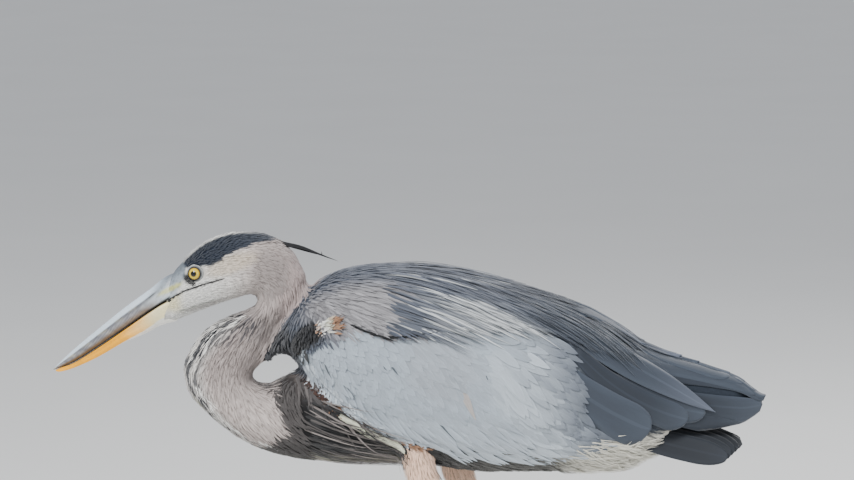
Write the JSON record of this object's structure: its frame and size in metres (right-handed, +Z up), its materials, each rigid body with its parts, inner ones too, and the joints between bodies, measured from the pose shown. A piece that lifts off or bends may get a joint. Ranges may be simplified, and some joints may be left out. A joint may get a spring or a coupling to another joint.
{
  "type": "great blue heron",
  "caption": "Life-size great blue heron, a still model stalking on both feet with its body level, neck folded in an S and bill pointing down.",
  "frame": {"origin": "middle of the bird's box, on the floor under its soles", "axes": "+Z up, -X the way the bill points, -Y its left side"},
  "size_m": [0.6596, 0.1708, 0.5352],
  "materials": {
    "back_feathers": "soft slate feathers",
    "neck_feathers": "warm grey feathers, streaked black and white on the foreneck",
    "head_feathers": "white feathers with a slate stripe over the eye",
    "eye": "wet, yellow iris with a round black pupil",
    "bill_horn": "satin grey horn",
    "bill_yellow": "satin orange-yellow horn",
    "black_plume": "thin black plume",
    "wing_feathers": "pale blue-grey small feathers over long dark slate ones",
    "tail_feathers": "dark slate feathers",
    "thigh_feathers": "short cinnamon feathers",
    "leg_skin": "scaly grey-brown skin",
    "claw_horn": "dark horn"
  },
  "bodies": {
    "root": {"trunk": "back_feathers", "neck_upper": "neck_feathers", "neck_middle": "neck_feathers", "neck_lower": "neck_feathers", "head": "head_feathers", "eye_left": "eye", "eye_right": "eye", "bill_upper": "bill_horn", "bill_lower": "bill_yellow", "plume": "black_plume", "wing_left": "wing_feathers", "wing_right": "wing_feathers", "tail": "tail_feathers", "thigh_left": "thigh_feathers", "thigh_right": "thigh_feathers", "tarsus_left": "leg_skin", "tarsus_right": "leg_skin", "foot_left": "leg_skin", "foot_right": "leg_skin", "claw_left_inner": "claw_horn", "claw_left_middle": "claw_horn", "claw_left_outer": "claw_horn", "claw_left_hind": "claw_horn", "claw_right_inner": "claw_horn", "claw_right_middle": "claw_horn", "claw_right_outer": "claw_horn", "claw_right_hind": "claw_horn"}
  },
  "joints": []
}
